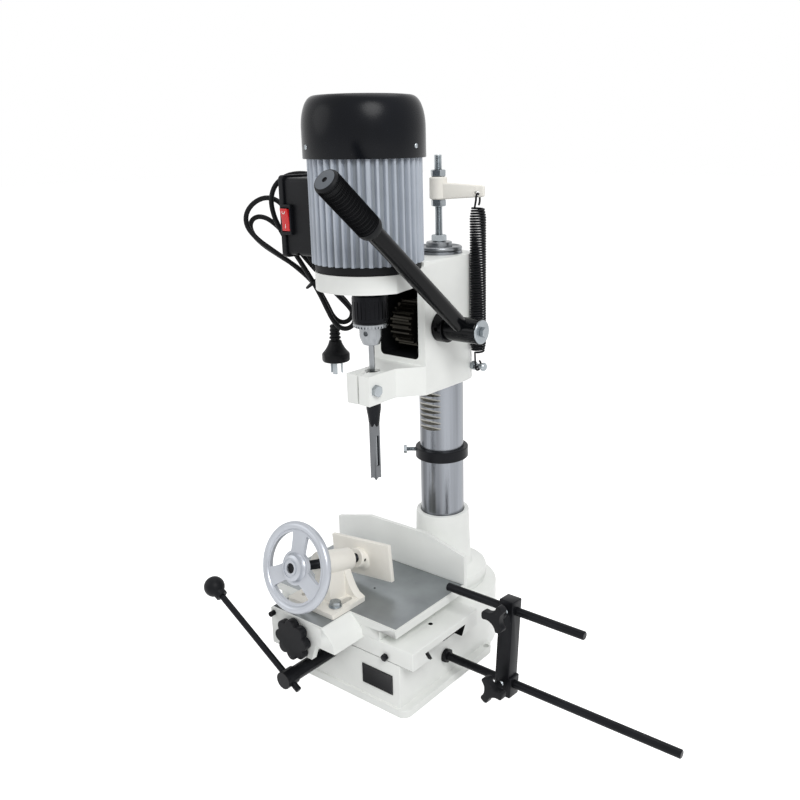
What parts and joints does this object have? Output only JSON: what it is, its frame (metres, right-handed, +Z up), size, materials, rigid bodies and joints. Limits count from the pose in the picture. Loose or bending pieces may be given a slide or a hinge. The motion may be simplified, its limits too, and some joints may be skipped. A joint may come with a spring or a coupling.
{
  "type": "benchtop mortiser",
  "caption": "Benchtop mortising machine: motor head on a rack column, hollow chisel, sliding saddle and table with fence, screw clamp, pull lever and length stop",
  "frame": {"origin": "on the column's axis, on the bench face under the base casting", "axes": "+X to the operator's right along the fence, +Y from the operator to the column, +Z up"},
  "size_m": [0.615, 0.36, 0.738],
  "materials": {
    "base_casting": "cool white paint on a casting",
    "nameplate": "bare satin black plate",
    "column_socket": "cool white paint on a casting",
    "socket_screw": "black-oxide steel",
    "column": "polished steel",
    "column_cap": "dark grey steel",
    "column_stud": "bright zinc",
    "stud_nut": "bright zinc",
    "arm_nut_lower": "bright zinc",
    "arm_nut_upper": "bright zinc",
    "spring_arm": "cream paint on a casting",
    "return_spring": "black coated spring wire",
    "depth_stop_collar": "satin black",
    "collar_bolt": "bright zinc",
    "head_casting": "cool white paint on a casting",
    "chisel_clamp_bolt": "bright zinc",
    "spring_bolt": "bright zinc",
    "motor_lower_bell": "black textured paint",
    "motor_bearing": "bearing steel",
    "motor_housing": "silver-grey paint on finned aluminium",
    "stator_core": "laminations and copper winding",
    "fan_cover": "satin black",
    "rotor_shaft": "steel",
    "cooling_fan": "black plastic",
    "drill_chuck": "black-oxide sleeve, bright nose",
    "auger_bit": "ground steel",
    "hollow_chisel": "ground steel, dark neck",
    "switch_box": "moulded black plastic",
    "rocker_switch": "red plastic",
    "power_cord": "black flexible sheath",
    "cord_tie": "black tie",
    "power_plug": "black moulded plug",
    "pinion_shaft": "steel",
    "shaft_collar": "satin black",
    "lever_arm": "gloss black",
    "lever_grip": "dimpled black rubber",
    "end_washer": "bright zinc",
    "end_bolt": "bright zinc",
    "travel_shaft": "satin black steel",
    "travel_lever": "satin black rod",
    "ball_knob": "black plastic ball",
    "saddle_casting": "cool white paint on a casting",
    "travel_rack": "steel rack",
    "saddle_gib": "steel strip",
    "gib_screw": "black hexagon screw",
    "table_casting": "white paint below, ground grey top",
    "fence": "cool white paint, ground face",
    "bracket_bolt": "bright zinc",
    "clamp_bracket": "cream paint on a casting",
    "clamp_pad": "cream paint on a casting",
    "clamp_screw": "threaded steel",
    "handwheel": "silver-blue paint on a casting",
    "feed_screw": "threaded steel",
    "feed_knob": "black plastic",
    "stop_rod_lower": "satin black rod",
    "rod_lock_nut": "satin black nut",
    "stop_bar": "satin black square tube",
    "stop_rod_upper": "satin black rod",
    "wing_knob_upper": "black plastic",
    "wing_knob_lower": "black plastic"
  },
  "bodies": {
    "base": {"base_casting": "base_casting", "nameplate": "nameplate", "column_socket": "column_socket", "socket_screw": "socket_screw", "column": "column", "column_cap": "column_cap", "column_stud": "column_stud", "stud_nut": "stud_nut", "arm_nut_lower": "arm_nut_lower", "arm_nut_upper": "arm_nut_upper", "spring_arm": "spring_arm", "return_spring": "return_spring", "rod_lock_nut": "rod_lock_nut"},
    "depth_collar": {"depth_stop_collar": "depth_stop_collar", "collar_bolt": "collar_bolt"},
    "head": {"head_casting": "head_casting", "motor_lower_bell": "motor_lower_bell", "motor_housing": "motor_housing", "fan_cover": "fan_cover", "stator_core": "stator_core", "motor_bearing": "motor_bearing", "switch_box": "switch_box", "power_cord": "power_cord", "cord_tie": "cord_tie", "power_plug": "power_plug", "hollow_chisel": "hollow_chisel", "chisel_clamp_bolt": "chisel_clamp_bolt", "spring_bolt": "spring_bolt"},
    "spindle": {"rotor_shaft": "rotor_shaft", "cooling_fan": "cooling_fan", "drill_chuck": "drill_chuck", "auger_bit": "auger_bit"},
    "rocker": {"rocker_switch": "rocker_switch"},
    "pull_lever": {"pinion_shaft": "pinion_shaft", "shaft_collar": "shaft_collar", "lever_arm": "lever_arm", "lever_grip": "lever_grip", "end_washer": "end_washer", "end_bolt": "end_bolt"},
    "travel_handle": {"travel_shaft": "travel_shaft", "travel_lever": "travel_lever", "ball_knob": "ball_knob"},
    "saddle": {"saddle_casting": "saddle_casting", "travel_rack": "travel_rack", "saddle_gib": "saddle_gib", "gib_screw": "gib_screw"},
    "table": {"table_casting": "table_casting", "fence": "fence", "bracket_bolt": "bracket_bolt"},
    "feed": {"feed_screw": "feed_screw", "feed_knob": "feed_knob"},
    "bracket": {"clamp_bracket": "clamp_bracket"},
    "pad": {"clamp_pad": "clamp_pad"},
    "wheel": {"clamp_screw": "clamp_screw", "handwheel": "handwheel"},
    "stop_rod": {"stop_rod_lower": "stop_rod_lower"},
    "stop_post": {"stop_bar": "stop_bar"},
    "upper_rod": {"stop_rod_upper": "stop_rod_upper"},
    "upper_knob": {"wing_knob_upper": "wing_knob_upper"},
    "lower_knob": {"wing_knob_lower": "wing_knob_lower"}
  },
  "joints": [
    {"name": "head_slide", "type": "slide", "parent": "base", "child": "head", "axis": [0, 0, -1], "range_m": [0, 0.05], "stiffness_N_per_m": 2800, "springref_m": -0.07, "deforming": ["return_spring"]},
    {"name": "pull_lever_turn", "type": "hinge", "parent": "head", "child": "pull_lever", "pos_m": [0, -0.055, 0.465], "axis": [1, 0, 0], "range_deg": [0, 104.2]},
    {"name": "spindle_spin", "type": "hinge", "parent": "head", "child": "spindle", "pos_m": [0, -0.137, 0.494], "axis": [0, 0, 1], "continuous": true},
    {"name": "rocker_tilt", "type": "hinge", "parent": "head", "child": "rocker", "pos_m": [-0.1005, -0.1715, 0.599], "axis": [1, 0, 0], "range_deg": [-14, 0]},
    {"name": "depth_collar_slide", "type": "slide", "parent": "base", "child": "depth_collar", "axis": [0, 0, 1], "range_m": [-0.078, 0]},
    {"name": "saddle_slide", "type": "slide", "parent": "base", "child": "saddle", "axis": [1, 0, 0], "range_m": [-0.014, 0.012]},
    {"name": "travel_lever_turn", "type": "hinge", "parent": "base", "child": "travel_handle", "pos_m": [-0.0335, -0.2745, 0.05], "axis": [0, 1, 0], "range_deg": [-40.2, 34.5]},
    {"name": "table_slide", "type": "slide", "parent": "saddle", "child": "table", "axis": [0, 1, 0], "range_m": [-0.008, 0.002]},
    {"name": "feed_knob_turn", "type": "hinge", "parent": "table", "child": "feed", "pos_m": [-0.04, -0.25, 0.0935], "axis": [0, 1, 0], "range_deg": [-721, 181]},
    {"name": "bracket_slide", "type": "slide", "parent": "table", "child": "bracket", "axis": [0, 1, 0], "range_m": [-0.02, 0.001]},
    {"name": "pad_slide", "type": "slide", "parent": "bracket", "child": "pad", "axis": [0, 0.9613, -0.2756], "range_m": [-0.015, 0.018]},
    {"name": "handwheel_turn", "type": "hinge", "parent": "pad", "child": "wheel", "pos_m": [-0.036, -0.248, 0.189], "axis": [0, 0.9613, -0.2756], "range_deg": [-1801, 2161]},
    {"name": "stop_rod_turn", "type": "hinge", "parent": "base", "child": "stop_rod", "pos_m": [0.083, -0.107, 0.04], "axis": [1, 0, 0], "range_deg": [-15, 30]},
    {"name": "stop_bar_slide", "type": "slide", "parent": "stop_rod", "child": "stop_post", "axis": [1, 0, 0], "range_m": [-0.015, 0.18]},
    {"name": "upper_rod_slide", "type": "slide", "parent": "stop_post", "child": "upper_rod", "axis": [1, 0, 0], "range_m": [-0.01, 0.08]},
    {"name": "upper_knob_turn", "type": "hinge", "parent": "stop_post", "child": "upper_knob", "pos_m": [0.178, -0.09847, 0.13562], "axis": [0, -0.996, 0.0889], "range_deg": [-90, 90]},
    {"name": "lower_knob_turn", "type": "hinge", "parent": "stop_post", "child": "lower_knob", "pos_m": [0.178, -0.107, 0.04], "axis": [0, -0.996, 0.0889], "range_deg": [-90, 90]}
  ],
  "couplings": [
    {"joint": "pull_lever_turn", "follows": "head_slide", "rad_per_m": 36.364},
    {"joint": "travel_lever_turn", "follows": "saddle_slide", "rad_per_m": 50},
    {"joint": "feed_knob_turn", "follows": "table_slide", "rad_per_m": 1570.8},
    {"joint": "handwheel_turn", "follows": "pad_slide", "rad_per_m": 2094.4}
  ]
}
